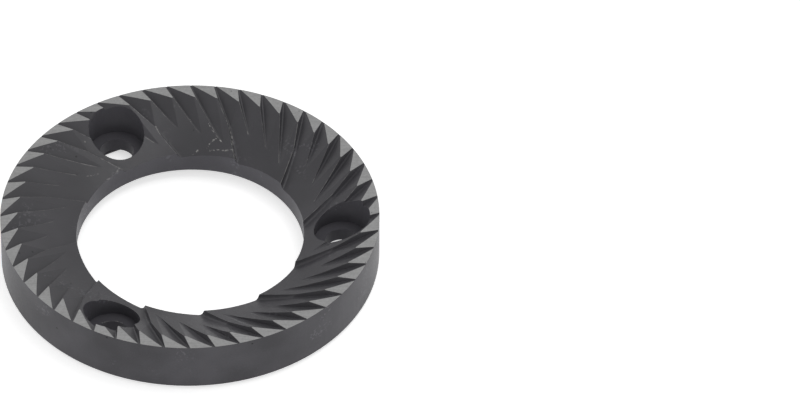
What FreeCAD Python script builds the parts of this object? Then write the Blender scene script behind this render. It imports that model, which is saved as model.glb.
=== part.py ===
import FreeCAD, Part
import math
import os

# Flat coffee grinder burr: one ring of tool steel, teeth up, standing on the ground rim of its back.
# Origin at the centre of the rim plane, +Z up through the teeth. Angles run counter-clockwise from +X.

# Ring
OUTER_D = 64.0
BORE_D = 38.5
HEIGHT = 9.6
OUTER_R = OUTER_D / 2
BORE_R = BORE_D / 2

# Back
BACK_EDGE_CHAMFER = 0.75
BACK_RIM_WIDTH = 2.35
BACK_RECESS_DEPTH = 0.75
BACK_RECESS_FILLET = 0.3
BORE_BACK_CHAMFER = 1.05

# Screw holes, for M5 screws with cylinder heads
SCREW_COUNT = 3
SCREW_PCD = 51.3
SCREW_HOLE_D = 5.8
HEAD_POCKET_D = 9.5
HEAD_POCKET_DEPTH = 6.2
FIRST_SCREW_ANGLE = 0.6

# Tooth layout: each coarse ramp carries the same number of fine teeth
COARSE_COUNT = 12
FINE_PER_COARSE = 4
FINE_COUNT = COARSE_COUNT * FINE_PER_COARSE
TOOTH_PITCH = 360.0 / FINE_COUNT
COARSE_PITCH = 360.0 / COARSE_COUNT
FIRST_TIP_ANGLE = -8.03
LAND_WIDTH = 2.94
TIP_R = OUTER_R - LAND_WIDTH

# Fine grooves, as a large grinding wheel leaves them: a steep cutting wall and a shallow back
WHEEL_R = 110.0
GROOVE_ANGLE = 27.9
GROOVE_FALL_AT_TIP = 15.8
CUT_LEAN = 22.4
BACK_SLOPE = 30.2
ROOT_FLAT = 0.25

# Coarse ramps: straight lines fall from tip circle to bore, deeper with each degree past the step
RAMP_DROP = 3.95
RAMP_DROP_PER_DEG = 0.012
RAMP_DROP_PER_DEG2 = 0.0008
STEP_LEAD_ANGLE = 13.7
STEP_TRACE_ANGLE = 11.0
STEP_LEAN = 22.0
STEP_ROOT_R = 0.45

# Room that a cutter keeps past the metal
OVERRUN = 2.0


def on_plan(radius, angle, z):
    turn = math.radians(angle)
    return FreeCAD.Vector(radius * math.cos(turn), radius * math.sin(turn), z)


def turned(shape, angle):
    copy = shape.copy()
    copy.rotate(FreeCAD.Vector(0, 0, 0), FreeCAD.Vector(0, 0, 1), angle)
    return copy


def blank():
    """The turned ring: chamfered back, ground rim, shallow recess and chamfered bore."""
    recess_r = OUTER_R - BACK_EDGE_CHAMFER - BACK_RIM_WIDTH
    outline = [
        (BORE_R, HEIGHT),
        (OUTER_R, HEIGHT),
        (OUTER_R, BACK_EDGE_CHAMFER),
        (OUTER_R - BACK_EDGE_CHAMFER, 0.0),
        (recess_r, 0.0),
        (recess_r, BACK_RECESS_DEPTH),
        (BORE_R + BORE_BACK_CHAMFER, BACK_RECESS_DEPTH),
        (BORE_R, BACK_RECESS_DEPTH + BORE_BACK_CHAMFER),
    ]
    points = [FreeCAD.Vector(r, 0, z) for r, z in outline]
    face = Part.Face(Part.makePolygon(points + points[:1]))
    ring = face.revolve(FreeCAD.Vector(0, 0, 0), FreeCAD.Vector(0, 0, 1), 360)
    corner = [
        edge for edge in ring.Edges
        if abs(edge.BoundBox.ZMin - BACK_RECESS_DEPTH) < 1e-6
        and abs(edge.BoundBox.ZMax - BACK_RECESS_DEPTH) < 1e-6
        and abs(edge.BoundBox.XMax - recess_r) < 1e-6
    ]
    return ring.makeFillet(BACK_RECESS_FILLET, corner)


def ramp_drop(angle):
    """Depth of the ramp at the bore, this many degrees past its step."""
    return RAMP_DROP + RAMP_DROP_PER_DEG * angle + RAMP_DROP_PER_DEG2 * angle ** 2


def ramp_radius(angle, z):
    """Radius at which the ramp stands at this height."""
    return TIP_R - (TIP_R - BORE_R) * (HEIGHT - z) / ramp_drop(angle)


def leaning_side(point, trace_angle, lean, reach):
    """A half-space of metal behind a wall that leans back from the vertical."""
    turn = math.radians(trace_angle)
    along = FreeCAD.Vector(math.cos(turn), math.sin(turn), 0)
    outward = FreeCAD.Vector(math.sin(turn), -math.cos(turn), 0)
    fall = math.tan(math.radians(lean))
    start = point - along * reach
    rise = FreeCAD.Vector(0, 0, reach)
    top = start + rise - outward * (reach * fall)
    foot = start - rise + outward * (reach * fall)
    back = outward * (-2 * reach)
    side = Part.Face(Part.makePolygon([top, foot, foot + back, top + back, top]))
    return side.extrude(along * (2 * reach))


def ramp_cutter():
    """What one coarse ramp removes, in the frame of its first tooth's tip."""
    step_angle = -STEP_LEAD_ANGLE
    spread = COARSE_PITCH + STEP_LEAD_ANGLE
    floor = HEIGHT - ramp_drop(spread)
    inner_r = BORE_R / 2
    wires = []
    for z in (floor, HEIGHT + OVERRUN):
        first, middle, last = (
            on_plan(ramp_radius(past, z), step_angle + past, z)
            for past in (0.0, spread / 2, spread)
        )
        inner_last = on_plan(inner_r, step_angle + spread, z)
        inner_first = on_plan(inner_r, step_angle, z)
        wires.append(Part.Wire([
            Part.Arc(first, middle, last).toShape(),
            Part.LineSegment(last, inner_last).toShape(),
            Part.LineSegment(inner_last, inner_first).toShape(),
            Part.LineSegment(inner_first, first).toShape(),
        ]))
    sector = Part.makeLoft(wires, True, True)
    step_top = on_plan(BORE_R, step_angle, HEIGHT - RAMP_DROP)
    step = turned(leaning_side(step_top, STEP_TRACE_ANGLE, STEP_LEAN, OUTER_D), COARSE_PITCH)
    cutter = sector.cut(step)
    wall = max(
        (face for face in cutter.Faces
         if isinstance(face.Surface, Part.Plane) and face.BoundBox.ZLength > OVERRUN),
        key=lambda face: face.Area,
    )
    foot = max(
        (edge for edge in wall.Edges if isinstance(edge.Curve, Part.BSplineCurve)),
        key=lambda edge: edge.Length,
    )
    return cutter.makeFillet(STEP_ROOT_R, [foot])


def groove_cutter():
    """The wheel's rim in the groove that bares one cutting wall, in the frame of that tooth's tip.

    Its wall passes through this tip and its back through the last one, which sets the depth.
    """
    turn = math.radians(GROOVE_ANGLE)
    inward = FreeCAD.Vector(-math.cos(turn), -math.sin(turn), 0)
    across = FreeCAD.Vector(-math.sin(turn), math.cos(turn), 0)
    up = FreeCAD.Vector(0, 0, 1)
    tip = on_plan(TIP_R, 0, HEIGHT)
    to_last_tip = on_plan(TIP_R, -TOOTH_PITCH, HEIGHT) - tip
    wall_run = math.tan(math.radians(CUT_LEAN))
    back_run = 1 / math.tan(math.radians(BACK_SLOPE))
    fall = math.tan(math.radians(GROOVE_FALL_AT_TIP))
    last_run = to_last_tip.dot(inward)
    deeper_there = fall * last_run - last_run ** 2 / (2 * WHEEL_R)
    depth = (-to_last_tip.dot(across) - back_run * deeper_there) / (wall_run + back_run)

    past_lowest = math.radians(GROOVE_FALL_AT_TIP)
    edge_at_tip = tip - across * (wall_run * depth) - up * depth
    to_centre = inward * math.sin(past_lowest) + up * math.cos(past_lowest)
    centre = edge_at_tip + to_centre * WHEEL_R
    foot = centre - up * WHEEL_R
    wall_rise = up + across * wall_run
    back_rise = up - across * back_run
    flat_height = ROOT_FLAT / (wall_run + back_run)
    corners = [
        foot + wall_rise * flat_height,
        foot + wall_rise * HEIGHT,
        foot + back_rise * HEIGHT,
        foot + back_rise * flat_height,
    ]
    outer_run = LAND_WIDTH / math.cos(turn) + OVERRUN
    inner_run = (TIP_R - BORE_R) / math.cos(turn) + 2 * OVERRUN
    start = math.degrees(past_lowest + outer_run / WHEEL_R)
    sweep = math.degrees((outer_run + inner_run) / WHEEL_R)
    face = Part.Face(Part.makePolygon(corners + corners[:1]))
    face.rotate(centre, across, -start)
    return face.revolve(centre, across, sweep)


def screw_cutter():
    """A through hole with a flat-bottomed pocket for the screw's head."""
    centre = on_plan(SCREW_PCD / 2, 0, 0)
    up = FreeCAD.Vector(0, 0, 1)
    hole = Part.makeCylinder(SCREW_HOLE_D / 2, HEIGHT + OVERRUN, centre - up * (OVERRUN / 2), up)
    pocket = Part.makeCylinder(
        HEAD_POCKET_D / 2, HEAD_POCKET_DEPTH + OVERRUN, centre + up * (HEIGHT - HEAD_POCKET_DEPTH), up)
    return hole.fuse(pocket)


def burr():
    ramp = ramp_cutter()
    groove = groove_cutter()
    screw = screw_cutter()
    cutters = [turned(ramp, FIRST_TIP_ANGLE + COARSE_PITCH * i) for i in range(COARSE_COUNT)]
    cutters += [turned(groove, FIRST_TIP_ANGLE + TOOTH_PITCH * i) for i in range(FINE_COUNT)]
    cutters += [turned(screw, FIRST_SCREW_ANGLE + 360.0 / SCREW_COUNT * i) for i in range(SCREW_COUNT)]
    return blank().cut(cutters)


os.makedirs("parts", exist_ok=True)
piece = burr()
piece.exportStep("parts/burr.step")
print("burr valid", piece.isValid(), "solids", len(piece.Solids), "volume", round(piece.Volume, 1))
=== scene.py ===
import math

import bmesh
import bpy
from mathutils import Matrix, Vector
from mathutils.kdtree import KDTree


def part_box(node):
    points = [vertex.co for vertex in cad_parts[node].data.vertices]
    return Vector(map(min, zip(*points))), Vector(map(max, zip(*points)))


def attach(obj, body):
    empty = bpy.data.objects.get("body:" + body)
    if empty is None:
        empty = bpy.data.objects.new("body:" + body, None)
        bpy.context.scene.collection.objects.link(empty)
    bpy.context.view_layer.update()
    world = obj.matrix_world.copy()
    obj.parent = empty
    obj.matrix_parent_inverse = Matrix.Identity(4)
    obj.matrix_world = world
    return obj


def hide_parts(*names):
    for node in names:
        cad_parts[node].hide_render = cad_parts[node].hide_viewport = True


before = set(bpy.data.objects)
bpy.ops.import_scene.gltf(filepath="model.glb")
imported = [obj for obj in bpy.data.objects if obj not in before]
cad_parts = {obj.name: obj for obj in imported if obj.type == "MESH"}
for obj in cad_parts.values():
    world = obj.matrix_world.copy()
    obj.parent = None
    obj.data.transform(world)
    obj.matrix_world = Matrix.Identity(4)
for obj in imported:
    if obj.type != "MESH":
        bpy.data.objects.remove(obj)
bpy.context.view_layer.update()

bl_info = {
    "name": "Grinder burr",
    "version": (1, 0, 0),
    "blender": (4, 5, 0),
    "location": "View3D > Sidebar > Burr",
    "description": "A flat coffee grinder burr of blackened tool steel, and its stage",
    "category": "Object",
}

MM = 0.001
RING_NODE = "burr"
RIM_LOW, RIM_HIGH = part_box(RING_NODE)
OUTER_R = RIM_HIGH.x
TOP = RIM_HIGH.z


def linear(hex_colour):
    """A linear colour from an sRGB hex value such as #4b4b4d."""
    parts = [int(hex_colour[i:i + 2], 16) / 255 for i in (1, 3, 5)]
    return tuple(c / 12.92 if c <= 0.04045 else ((c + 0.055) / 1.055) ** 2.4 for c in parts)


def length(name, description, default):
    return bpy.props.FloatProperty(
        name=name, description=description, default=default, unit="LENGTH", precision=5)


def colour(name, description, hex_colour):
    return bpy.props.FloatVectorProperty(
        name=name, description=description, default=linear(hex_colour), subtype="COLOR",
        size=3, min=0.0, max=1.0)


class BurrSizes(bpy.types.PropertyGroup):
    bore_r: length("Bore radius", "Radius of the hole in the middle", 19.25 * MM)
    rim_depth: length("Recess depth", "Depth of the relief in the back", 0.75 * MM)
    screw_circle_r: length("Screw circle", "Radius that the screw holes stand on", 25.65 * MM)
    screw_r: length("Screw hole", "Radius of a screw hole", 2.9 * MM)
    screw_chamfer: length("Hole edge", "Deburred edge at the back of a screw hole", 0.2 * MM)
    pocket_r: length("Head pocket", "Radius of the pocket for a screw's head", 4.75 * MM)
    pocket_depth: length("Pocket depth", "Depth of that pocket below the lands", 6.2 * MM)
    cell: length("Cell", "Side of the grid that refines the mesh", 1.0 * MM)
    wear: length("Edge wear", "Width of the rubbed line along an edge", 0.14 * MM)


class BurrColours(bpy.types.PropertyGroup):
    oxide: colour("Oxide", "Blackened steel in the open", "#434246")
    pocket: colour("Pocket", "Untouched film inside the head pockets", "#59585d")
    hole: colour("Screw hole", "Film thinned by the screws", "#5c5b61")
    # Painted light: the side's film is paler than the open film, standing in for light thrown up
    # from the white floor
    side: colour("Side", "Turned side, paler from handling", "#504f53")
    # Painted light: the bore's film is paler than the open film, standing in for light from below
    # that reaches the bored wall
    lit_bore: colour("Bore", "Bored wall, rubbed by the carrier it fits on", "#605f64")
    ground: colour("Ground steel", "Bare steel left by the surface grinder", "#b4b4b4")
    # Rubbed steel, also laid on the far crests as a painted highlight
    worn: colour("Rubbed steel", "Where an edge has lost its film", "#a9a8a6")
    grit: colour("Grit", "Fine dark specks on the faces", "#232326")


class BurrStage(bpy.types.PropertyGroup):
    floor: colour("Floor", "Plain pale floor", "#f6f6f6")
    walls: bpy.props.FloatProperty(
        name="Walls", description="Strength of the room's light at the horizon", default=0.95)
    ceiling: bpy.props.FloatProperty(
        name="Ceiling", description="Strength of the room's light overhead", default=0.34)
    softbox: bpy.props.FloatProperty(
        name="Softbox", description="Power of the lamp above", default=2.0, subtype="POWER")
    lift: bpy.props.FloatProperty(
        name="Lift", description="Light that the floor shows but does not throw", default=0.6)


def settings(group):
    return getattr(bpy.context.scene, group)


def add(tree, kind, inputs=None, **attributes):
    """Adds a node. Each input is a value, or the output that is linked to it."""
    node = tree.nodes.new(kind)
    for name, value in attributes.items():
        setattr(node, name, value)
    for name, value in (inputs or {}).items():
        if isinstance(value, bpy.types.NodeSocket):
            tree.links.new(value, node.inputs[name])
        else:
            node.inputs[name].default_value = value
    return node


def span(low, high, to_low=0.0, to_high=1.0):
    """The limits that a range of values is mapped from and to."""
    return {"From Min": low, "From Max": high, "To Min": to_low, "To Max": to_high}


def toned(film, factor):
    """A colour made darker or paler, as a shader takes it."""
    return (*(c * factor for c in film), 1.0)


def material(name):
    made = bpy.data.materials.new(name)
    made.use_nodes = True
    made.node_tree.nodes.clear()
    return made, made.node_tree


# Steel ring: its mesh

# In degrees from +X, counter-clockwise
FIRST_SCREW_ANGLE = 0.6
SCREW_COUNT = 3
# Corners this near each other are one, edges this short go, and a cut snaps to a corner this near
SAME_CORNER = 0.0005 * MM
SLIVER = 0.0002 * MM
SNAP = 0.0001 * MM
# How far a facet may lie off its plane, its corner or its round wall
OFF_PLANE = 0.002 * MM
OFF_CORNER = 0.01 * MM
OFF_WALL = 0.1 * MM
# How much of a normal points up on a level face, a floor, an upright wall and a drilled wall
LEVEL, FLOOR, UPRIGHT, DRILLED = 0.999, 0.9, 0.05, 0.02
# Edges that turn by less than this are the mesh's own facets
FACET_TURN = math.radians(12)
DRILLED_TURN = math.radians(30)
# A crest turns by more than this
EDGE_TURN = math.radians(28)
# The ramps and teeth stand above this height
TEETH_FLOOR = 3.0 * MM
# Wear is measured from points this close together along a crest, out to this reach
CREST_STEP = 0.1 * MM
CREST_REACH = 3.0 * MM
OPEN, GROUND, POCKET, HOLE, SIDE, BORE = range(6)

# Marks where the film is scraped off, as width in mm, strength and points on the ring's plan in mm
SCRAPES = (
    (0.24, 1.6, ((6.5, 22.4), (6.75, 20.5), (7.3, 18.0))),
    (0.18, 0.8, ((5.5, 25.5), (6.3, 23.3), (6.5, 22.4))),
    (0.16, 0.6, ((2.5, 24.65), (3.4, 23.2), (4.6, 21.6))),
    (0.17, 0.9, ((2.4, 20.2), (2.7, 20.9), (3.1, 21.4), (3.7, 21.8), (4.3, 21.95), (5.1, 21.0))),
    (0.17, 0.8, ((2.4, 20.2), (3.0, 19.9), (4.6, 19.9), (5.3, 19.6), (5.8, 19.6), (6.7, 19.7))),
    (0.16, 0.9, ((0.9, 20.2), (0.1, 19.5))),
    (0.13, 1.0, ((-10.9, -19.9), (-11.8, -19.5), (-12.6, -19.4), (-13.4, -19.5), (-14.3, -19.9))),
    (0.22, 0.8, ((-6.4, 24.0), (-5.7, 22.8))),
    (0.20, 0.6, ((-0.9, 25.9), (-0.4, 25.3))),
    (0.26, 0.4, ((-15.7, 17.1), (-13.9, 16.5), (-12.0, 15.9), (-13.0, 14.2), (-14.5, 12.7))),
    (0.22, 0.4, ((-18.3, 12.5), (-17.0, 13.0), (-15.7, 13.6))),
    (0.30, 0.8, ((-18.5, 19.1), (-18.3, 19.2))),
)
# Patches of the plan that hold them, as low and high corners in mm
SCRAPED = (
    ((-0.7, 17.6), (7.7, 26.2)),
    ((-19.0, 12.2), (-11.6, 19.6)),
    ((-6.8, 22.4), (-5.3, 24.4)),
    ((-15.0, -21.0), (-10.4, -18.8)),
)
SCRAPE_CELL = 0.2
# Only faces and corners whose normal points up by this much are scraped
SCRAPED_FACE_UP, SCRAPED_CORNER_UP = 0.2, 0.1


def merged_copy(node):
    """The node's loose triangles as one closed mesh."""
    bm = bmesh.new()
    bm.from_mesh(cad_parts[node].data)
    bmesh.ops.remove_doubles(bm, verts=bm.verts, dist=SAME_CORNER)
    bmesh.ops.dissolve_degenerate(bm, edges=bm.edges, dist=SLIVER)
    return bm


def screw_centres(sizes):
    pitch = 360 / SCREW_COUNT
    turns = [math.radians(FIRST_SCREW_ANGLE + pitch * i) for i in range(SCREW_COUNT)]
    return [Vector((math.cos(t), math.sin(t))) * sizes.screw_circle_r for t in turns]


def deburr_holes(bm, sizes, centres):
    """Opens the back edge of each screw hole by a small chamfer, as a hand tool leaves it."""
    for centre in centres:
        def away(place):
            return (place.xy - centre).length

        wall = [face for face in bm.faces if abs(face.normal.z) < UPRIGHT
                and away(face.calc_center_median()) < sizes.screw_r]
        edges = {edge for face in wall for edge in face.edges}
        verts = {vert for face in wall for vert in face.verts}
        bmesh.ops.bisect_plane(
            bm, geom=[*verts, *edges, *wall], dist=SNAP, plane_no=(0, 0, 1),
            plane_co=(0, 0, sizes.rim_depth + sizes.screw_chamfer))
        for vert in verts:
            if abs(vert.co.z - sizes.rim_depth) < OFF_CORNER:
                out = (vert.co.xy - centre).normalized() * sizes.screw_chamfer
                vert.co += Vector((*out, 0))


def finish_of(face, sizes, centres):
    """Which finish a face has, by where it is and which way it looks."""
    up = face.normal.z
    if up > LEVEL and all(v.co.z > TOP - OFF_PLANE for v in face.verts):
        return GROUND
    if up < -LEVEL and all(v.co.z < OFF_PLANE for v in face.verts):
        return GROUND
    middle = face.calc_center_median()
    upright = abs(up) < UPRIGHT
    floor = up > FLOOR and middle.z < TOP - sizes.pocket_depth + OFF_WALL
    for centre in centres:
        away = (middle.xy - centre).length
        if away < sizes.screw_r + sizes.screw_chamfer and abs(up) < FLOOR:
            return HOLE
        if away < sizes.pocket_r + OFF_CORNER and (upright or floor):
            return POCKET
    if upright and middle.xy.length > OUTER_R - OFF_WALL:
        return SIDE
    if upright and middle.xy.length < sizes.bore_r + OFF_WALL:
        return BORE
    return OPEN


def mark_facets(bm):
    """Smooth shading across facets, sharp at the real edges."""
    for edge in bm.edges:
        if len(edge.link_faces) != 2:
            continue
        drilled = all(abs(face.normal.z) < DRILLED for face in edge.link_faces)
        limit = DRILLED_TURN if drilled else FACET_TURN
        edge.smooth = edge.calc_face_angle(0) < limit
    for face in bm.faces:
        face.smooth = True


def cut_across(bm, geometry, axis, low, high, cell):
    """Cuts this geometry with planes across an axis, a cell apart."""
    across = Vector([float(i == axis) for i in range(3)])
    for i in range(math.floor((high - low) / cell)):
        cut = bmesh.ops.bisect_plane(bm, geom=geometry, dist=SNAP,
                                     plane_co=across * (low + (i + 0.5) * cell), plane_no=across)
        geometry = cut["geom"]


def refine(bm, cell):
    """Cuts the mesh along a grid, so that it can carry a wear value near its edges."""
    for axis in range(3):
        geometry = bm.verts[:] + bm.edges[:] + bm.faces[:]
        cut_across(bm, geometry, axis, RIM_LOW[axis], RIM_HIGH[axis], cell)
    for low, high in SCRAPED:
        for axis in range(2):
            held = [face for face in bm.faces if face.normal.z > SCRAPED_FACE_UP and all(
                low[i] * MM < face.calc_center_median()[i] < high[i] * MM for i in range(2))]
            edges = {edge for face in held for edge in face.edges}
            verts = {vert for face in held for vert in face.verts}
            geometry = [*verts, *edges, *held]
            cut_across(bm, geometry, axis, low[axis] * MM, high[axis] * MM, SCRAPE_CELL * MM)


def scrape_at(place):
    """How strongly the film is scraped at a place on the plan, from 0 up."""
    strongest = 0.0
    for width, strength, points in SCRAPES:
        for start, end in zip(points, points[1:]):
            start, end = Vector(start) * MM, Vector(end) * MM
            run = end - start
            share = max(0.0, min(1.0, (place - start).dot(run) / run.length_squared))
            away = (place - start - run * share).length / (width * MM)
            strongest = max(strongest, strength * (1 - away))
    return strongest


def distance_field(bm, edges, step, reach):
    """Distance from each vertex to the nearest of these edges, up to a reach."""
    points = []
    for edge in edges:
        start, end = (v.co for v in edge.verts)
        parts = max(1, math.ceil((end - start).length / step))
        points += [start.lerp(end, i / parts) for i in range(parts + 1)]
    tree = KDTree(len(points))
    for i, point in enumerate(points):
        tree.insert(point, i)
    tree.balance()
    touching = {v for edge in edges for v in edge.verts}
    return [0.0 if v in touching else min(tree.find(v.co)[2], reach) for v in bm.verts]


def steel_ring():
    """The ring, with a finish on each face and its wear on each corner."""
    sizes = settings("burr_sizes")
    bm = merged_copy(RING_NODE)
    bm.normal_update()
    centres = screw_centres(sizes)
    deburr_holes(bm, sizes, centres)
    bm.normal_update()
    mark_facets(bm)
    refine(bm, sizes.cell)
    bm.normal_update()
    for face in bm.faces:
        face.material_index = finish_of(face, sizes, centres)
    turned = [e for e in bm.edges if not e.smooth and e.is_convex
              and e.calc_face_angle(0) > EDGE_TURN
              and all(vert.co.z > TEETH_FLOOR for vert in e.verts)
              and all(face.material_index == OPEN for face in e.link_faces)]
    crest = bm.verts.layers.float.new("crest_mm")
    for vert, value in zip(bm.verts, distance_field(bm, turned, CREST_STEP, CREST_REACH)):
        vert[crest] = value / MM
    scraped = bm.verts.layers.float.new("scrape")
    for vert in bm.verts:
        if vert.normal.z > SCRAPED_CORNER_UP:
            vert[scraped] = scrape_at(vert.co.xy)
    mesh = bpy.data.meshes.new("steel_ring")
    bm.to_mesh(mesh)
    bm.free()
    ring = bpy.data.objects.new("steel_ring", mesh)
    bpy.context.scene.collection.objects.link(ring)
    return ring


# Steel ring: its finishes. Where a noise is cut by span(), the first two numbers say where in
# its range from 0 to 1 the pattern starts and where it is full

# Sizes of what repeats in the film: its grain and mottling, the beads of a scrape, knocks and
# their flecks, and the stretches and fraying of a worn crest
GRAIN_MM = 0.3
MOTTLE_MM = 9.0
BEAD_MM = 0.55
KNOCK_MM, FLECK_MM = 5.0, 0.5
WEAR_MM, FRAY_MM = 4.0, 0.8
# Grit on the film and pits in the ground steel: spacing, share of places that have one, radius
GRIT = (2.2, 0.11, 0.27)
PITS = (0.9, 0.12, 0.14)
# A speck is full out to this share of its radius
SPECK_CORE = 0.3
# Painted highlight: the pale crest line is full back from the first Y, and only this share of it
# in front of the second, as if light falls brighter on the far crests
BACK_Y, FRONT_Y, FRONT_HIGHLIGHT_SHARE = 16 * MM, -18 * MM, 0.35
# Lines of the grinding wheel: their width, the grain among them, their direction, and the scale
# along them against that across, which draws them out
LINE_MM, LINE_GRAIN_MM, LINE_TURN, LINE_STRETCH = 0.25, 0.35, math.radians(35), 0.06


def size_mm(value):
    """The scale of a pattern whose repeat is this many millimetres."""
    return 1 / (value * MM)


def specks(tree, place, size, share, radius):
    """Scattered round specks: mm between cells, share of cells with one, radius in mm."""
    cells = add(tree, "ShaderNodeTexVoronoi", {"Vector": place, "Scale": size_mm(size)})
    chance = add(tree, "ShaderNodeSeparateColor", {"Color": cells.outputs["Color"]})
    held = add(tree, "ShaderNodeMath", {0: chance.outputs["Red"], 1: share}, operation="LESS_THAN")
    dot = add(tree, "ShaderNodeMapRange", {
        "Value": cells.outputs["Distance"],
        **span(SPECK_CORE * radius / size, radius / size, 1.0, 0.0)},
        interpolation_type="SMOOTHSTEP")
    return add(tree, "ShaderNodeMath", {0: held.outputs[0], 1: dot.outputs[0]},
               operation="MULTIPLY").outputs[0]


def rubbed_crests_far_highlight(tree, place):
    """Where the film has gone from a crest: a line that thickens, thins and breaks.

    It is stronger on the far side of the ring than in front: a painted highlight over the wear.
    """
    near = add(tree, "ShaderNodeAttribute", attribute_name="crest_mm").outputs["Fac"]
    along = add(tree, "ShaderNodeSeparateXYZ", {"Vector": place}).outputs["Y"]
    # Painted highlight: the crest line grows stronger from the front of the ring to the back
    side = add(tree, "ShaderNodeMapRange", {
        "Value": along, **span(FRONT_Y, BACK_Y, FRONT_HIGHLIGHT_SHARE, 1.0)}).outputs[0]
    long_noise = add(tree, "ShaderNodeTexNoise", {
        "Vector": place, "Scale": size_mm(WEAR_MM), "Detail": 1.0})
    fine_noise = add(tree, "ShaderNodeTexNoise", {
        "Vector": place, "Scale": size_mm(FRAY_MM), "Detail": 2.0})
    held = add(tree, "ShaderNodeMath", {
        0: long_noise.outputs["Fac"], 1: fine_noise.outputs["Fac"]}, operation="MULTIPLY")
    width = add(tree, "ShaderNodeMapRange", {
        "Value": held.outputs[0], **span(0.2, 0.4, 0.02, settings("burr_sizes").wear / MM)})
    reach = add(tree, "ShaderNodeMath", {0: side, 1: width.outputs[0]}, operation="MULTIPLY")
    share = add(tree, "ShaderNodeMath", {0: near, 1: reach.outputs[0]}, operation="DIVIDE")
    bare = add(tree, "ShaderNodeMapRange", {
        "Value": share.outputs[0], **span(0.3, 1.0, 0.5, 0.0)}, interpolation_type="SMOOTHSTEP")
    return add(tree, "ShaderNodeMath", {0: side, 1: bare.outputs[0]},
               operation="MULTIPLY").outputs[0]


def scraped_film(tree, place):
    """Scrapes that break into beads, as a hard corner leaves them."""
    near = add(tree, "ShaderNodeAttribute", attribute_name="scrape").outputs["Fac"]
    broken = add(tree, "ShaderNodeTexNoise", {
        "Vector": place, "Scale": size_mm(BEAD_MM), "Detail": 2.0})
    beads = add(tree, "ShaderNodeMapRange", {"Value": broken.outputs["Fac"], **span(0.42, 0.60)})
    held = add(tree, "ShaderNodeMath", {0: near, 1: beads.outputs[0]}, operation="MULTIPLY")
    return add(tree, "ShaderNodeMapRange", {
        "Value": held.outputs[0], **span(0.08, 0.6, 0.0, 0.85)},
        interpolation_type="SMOOTHSTEP").outputs[0]


def scuffs(tree, place):
    """Clusters of fine pale flecks, where the film has been knocked."""
    knocks = add(tree, "ShaderNodeTexNoise", {
        "Vector": place, "Scale": size_mm(KNOCK_MM), "Detail": 1.0})
    cluster = add(tree, "ShaderNodeMapRange", {"Value": knocks.outputs["Fac"], **span(0.61, 0.69)})
    fine = add(tree, "ShaderNodeTexNoise", {
        "Vector": place, "Scale": size_mm(FLECK_MM), "Detail": 2.0})
    flecks = add(tree, "ShaderNodeMapRange", {"Value": fine.outputs["Fac"], **span(0.54, 0.64)})
    return add(tree, "ShaderNodeMath", {0: cluster.outputs[0], 1: flecks.outputs[0]},
               operation="MULTIPLY").outputs[0]


def black_oxide(name, film, mottle, gloss, oil, marks):
    """Black oxide on ground and hardened tool steel: a thin charcoal film, oiled against rust.

    It mottles faintly, holds dark grit and rubs through to pale steel where it has marks; on the
    far crests that pale steel is partly a painted highlight. The oil gives it a sheen at a flat
    angle, most on the smooth turned walls.
    """
    colours = settings("burr_colours")
    made, tree = material(name)
    place = add(tree, "ShaderNodeTexCoord").outputs["Object"]
    grain = add(tree, "ShaderNodeTexNoise", {
        "Vector": place, "Scale": size_mm(GRAIN_MM), "Detail": 3.0}).outputs["Fac"]
    clouds = add(tree, "ShaderNodeTexNoise", {
        "Vector": place, "Scale": size_mm(MOTTLE_MM), "Detail": 2.0})
    fine = add(tree, "ShaderNodeMapRange", {"Value": grain, **span(0.0, 1.0, -0.12, 0.12)})
    tone = add(tree, "ShaderNodeMath", {0: clouds.outputs["Fac"], 1: fine.outputs[0]},
               operation="ADD")
    mottled = add(tree, "ShaderNodeMapRange", {"Value": tone.outputs[0], **span(0.32, 0.68)})
    # Pale steel where the film is rubbed or scraped, and on the far crests a painted highlight
    worn = 0.0
    for mark in marks:
        worn = add(tree, "ShaderNodeMath", {0: worn, 1: mark(tree, place)},
                   operation="MAXIMUM").outputs[0]
    base = toned(film, 1 - mottle)
    for amount, over in (
        (mottled.outputs[0], toned(film, 1 + mottle)),
        (specks(tree, place, *GRIT), toned(colours.grit, 1.0)),
        (scuffs(tree, place), toned(film, 1.7)),
        (worn, toned(colours.worn, 1.0)),
    ):
        base = add(tree, "ShaderNodeMix", {0: amount, 6: base, 7: over},
                   data_type="RGBA").outputs[2]
    bump = add(tree, "ShaderNodeBump", {"Height": grain, "Strength": 0.25, "Distance": 0.01 * MM})
    rough = add(tree, "ShaderNodeMapRange", {"Value": grain, **span(0.3, 0.7, 0.40, 0.52)})
    shader = add(tree, "ShaderNodeBsdfPrincipled", {
        "Base Color": base, "Metallic": worn, "Roughness": rough.outputs[0],
        "Normal": bump.outputs[0], "Specular IOR Level": gloss,
        "Coat Weight": oil, "Coat Roughness": 0.1})
    add(tree, "ShaderNodeOutputMaterial", {"Surface": shader.outputs[0]})
    return made


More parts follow.
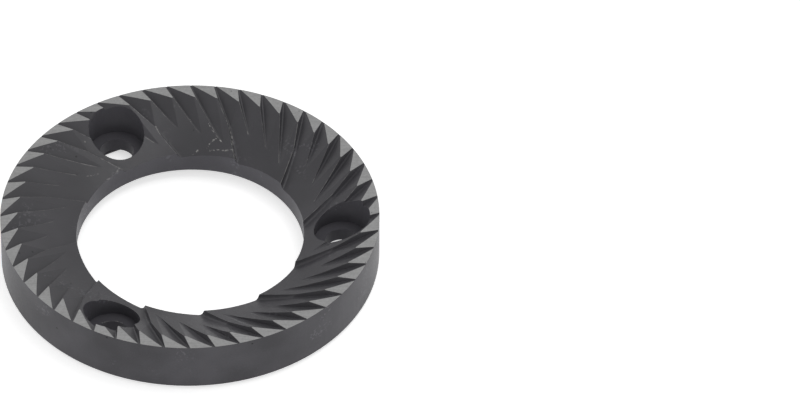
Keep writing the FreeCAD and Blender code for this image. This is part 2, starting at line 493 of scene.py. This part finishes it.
def ground_steel():
    """Tool steel cut flat on a surface grinder: pale and matt, with fine lines and small pits."""
    colours = settings("burr_colours")
    made, tree = material("ground_tool_steel")
    place = add(tree, "ShaderNodeTexCoord").outputs["Object"]
    pass_way = add(tree, "ShaderNodeMapping", {
        "Vector": place, "Rotation": (0, 0, LINE_TURN), "Scale": (LINE_STRETCH, 1, 1)})
    lines = add(tree, "ShaderNodeTexNoise", {
        "Vector": pass_way.outputs[0], "Scale": size_mm(LINE_MM), "Detail": 3.0}).outputs["Fac"]
    grain = add(tree, "ShaderNodeTexNoise", {
        "Vector": place, "Scale": size_mm(LINE_GRAIN_MM), "Detail": 2.0}).outputs["Fac"]
    tone = add(tree, "ShaderNodeMath", {0: lines, 1: grain}, operation="ADD")
    patch = add(tree, "ShaderNodeMapRange", {"Value": tone.outputs[0], **span(0.7, 1.3)})
    base = toned(colours.ground, 0.86)
    for amount, over in (
        (patch.outputs[0], toned(colours.ground, 1.1)),
        (specks(tree, place, *PITS), toned(colours.oxide, 1.0)),
    ):
        base = add(tree, "ShaderNodeMix", {0: amount, 6: base, 7: over},
                   data_type="RGBA").outputs[2]
    bump = add(tree, "ShaderNodeBump", {"Height": lines, "Strength": 0.3, "Distance": 0.006 * MM})
    shader = add(tree, "ShaderNodeBsdfPrincipled", {
        "Base Color": base, "Normal": bump.outputs[0], "Metallic": 1.0, "Roughness": 0.42})
    add(tree, "ShaderNodeOutputMaterial", {"Surface": shader.outputs[0]})
    return made


class BURR_OT_steel_ring(bpy.types.Operator):
    """Make the ring: its merged mesh, its wear and its six finishes"""
    bl_idname = "burr.steel_ring"
    bl_label = "Steel ring"

    def execute(self, context):
        colours = settings("burr_colours")
        ring = steel_ring()
        # Each film's colour, mottle, gloss, oil and marks
        for made in (
            black_oxide("black_oxide_ground_faces", colours.oxide, 0.13, 0.5, 0.04,
                        (scraped_film, rubbed_crests_far_highlight)),
            ground_steel(),
            black_oxide("black_oxide_drilled_pockets", colours.pocket, 0.10, 0.15, 0.05,
                        (scraped_film,)),
            black_oxide("black_oxide_screw_holes", colours.hole, 0.10, 0.15, 0.05, ()),
            black_oxide("black_oxide_turned_side", colours.side, 0.22, 0.15, 0.09,
                        (scraped_film,)),
            black_oxide("black_oxide_bored_wall", colours.lit_bore, 0.13, 0.15, 0.03,
                        (scraped_film,)),
        ):
            ring.data.materials.append(made)
        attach(ring, "root")
        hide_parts(RING_NODE)
        return {"FINISHED"}


# Stage

FLOOR_R = 3.0
SOFTBOX_PLACE = (0.25, 0.1, 1.0)
SOFTBOX_SIDE = 0.5
CAMERA_PLACE = (0.0354427, -1.0166536, 0.9865734)
CAMERA_TILT = math.radians(46.2057)
CAMERA_ROLL = math.radians(0.4008)
CAMERA_LENS = 376.061
# What the camera sees lies between these distances
NEAREST, FARTHEST = 0.05, 20


def pale_floor():
    """A plain pale floor that shows a little more light than it throws."""
    stage = settings("burr_stage")
    bm = bmesh.new()
    bmesh.ops.create_circle(bm, cap_ends=True, radius=FLOOR_R, segments=64)
    mesh = bpy.data.meshes.new("floor")
    bm.to_mesh(mesh)
    bm.free()
    floor = bpy.data.objects.new("floor", mesh)
    bpy.context.scene.collection.objects.link(floor)
    made, tree = material("pale_paper")
    matt = add(tree, "ShaderNodeBsdfDiffuse", {"Color": toned(stage.floor, 1.0)})
    rays = add(tree, "ShaderNodeLightPath").outputs
    seen = rays["Is Camera Ray"]
    for ray in ("Is Glossy Ray", "Is Transmission Ray"):
        seen = add(tree, "ShaderNodeMath", {0: seen, 1: rays[ray]}, operation="MAXIMUM").outputs[0]
    light = add(tree, "ShaderNodeMapRange", {"Value": seen, **span(0.0, 1.0, 0.0, stage.lift)})
    lift = add(tree, "ShaderNodeEmission", {"Strength": light.outputs[0]})
    both = add(tree, "ShaderNodeAddShader", {0: matt.outputs[0], 1: lift.outputs[0]})
    add(tree, "ShaderNodeOutputMaterial", {"Surface": both.outputs[0]})
    mesh.materials.append(made)


def white_room():
    """White walls that light the ring from the side, and a dimmer ceiling."""
    stage = settings("burr_stage")
    world = bpy.data.worlds.new("white_room")
    world.use_nodes = True
    tree = world.node_tree
    tree.nodes.clear()
    way = add(tree, "ShaderNodeTexCoord").outputs["Generated"]
    height = add(tree, "ShaderNodeSeparateXYZ", {"Vector": way}).outputs["Z"]
    light = add(tree, "ShaderNodeMapRange", {
        "Value": height, **span(0.0, 1.0, stage.walls, stage.ceiling)})
    back = add(tree, "ShaderNodeBackground", {
        "Color": (1.0, 1.0, 1.0, 1.0), "Strength": light.outputs[0]})
    add(tree, "ShaderNodeOutputWorld", {"Surface": back.outputs[0]})
    bpy.context.scene.world = world


def softbox():
    """A square lamp above, turned to the middle of the ring."""
    lamp = bpy.data.lights.new("softbox_above", "AREA")
    lamp.shape = "SQUARE"
    lamp.size = SOFTBOX_SIDE
    lamp.energy = settings("burr_stage").softbox
    holder = bpy.data.objects.new("softbox_above", lamp)
    holder.location = SOFTBOX_PLACE
    holder.rotation_euler = (-Vector(SOFTBOX_PLACE)).to_track_quat("-Z", "Y").to_euler()
    bpy.context.scene.collection.objects.link(holder)


def camera():
    """A long lens at the photograph's viewpoint."""
    lens = bpy.data.cameras.new("camera")
    lens.lens = CAMERA_LENS
    lens.sensor_width = 36
    lens.clip_start, lens.clip_end = NEAREST, FARTHEST
    holder = bpy.data.objects.new("camera", lens)
    holder.matrix_world = (
        Matrix.Translation(CAMERA_PLACE)
        @ Matrix.Rotation(CAMERA_TILT, 4, "X")
        @ Matrix.Rotation(CAMERA_ROLL, 4, "Z")
    )
    bpy.context.scene.collection.objects.link(holder)
    bpy.context.scene.camera = holder


class BURR_OT_stage(bpy.types.Operator):
    """Lay the pale floor and set the room light, the softbox and the camera"""
    bl_idname = "burr.stage"
    bl_label = "Stage"

    def execute(self, context):
        pale_floor()
        white_room()
        softbox()
        camera()
        bpy.context.scene.view_settings.view_transform = "Standard"
        return {"FINISHED"}


class BURR_PT_panel(bpy.types.Panel):
    """Sizes and colours of the burr, and the steps that make it"""
    bl_idname = "BURR_PT_panel"
    bl_label = "Grinder burr"
    bl_space_type = "VIEW_3D"
    bl_region_type = "UI"
    bl_category = "Burr"

    def draw(self, context):
        for group in GROUPS:
            box = self.layout.box()
            for name in GROUPS[group].__annotations__:
                box.prop(getattr(context.scene, group), name)
        for operator in OPERATORS:
            self.layout.operator(operator.bl_idname)


GROUPS = {"burr_sizes": BurrSizes, "burr_colours": BurrColours, "burr_stage": BurrStage}
OPERATORS = (BURR_OT_steel_ring, BURR_OT_stage)


def register():
    for made in (*GROUPS.values(), *OPERATORS, BURR_PT_panel):
        bpy.utils.register_class(made)
    for name, group in GROUPS.items():
        setattr(bpy.types.Scene, name, bpy.props.PointerProperty(type=group))


def unregister():
    for name in GROUPS:
        delattr(bpy.types.Scene, name)
    for made in (BURR_PT_panel, *reversed(OPERATORS), *reversed(GROUPS.values())):
        bpy.utils.unregister_class(made)


def main():
    register()
    bpy.ops.burr.stage()
    bpy.ops.burr.steel_ring()


if __name__ == "__main__":
    main()
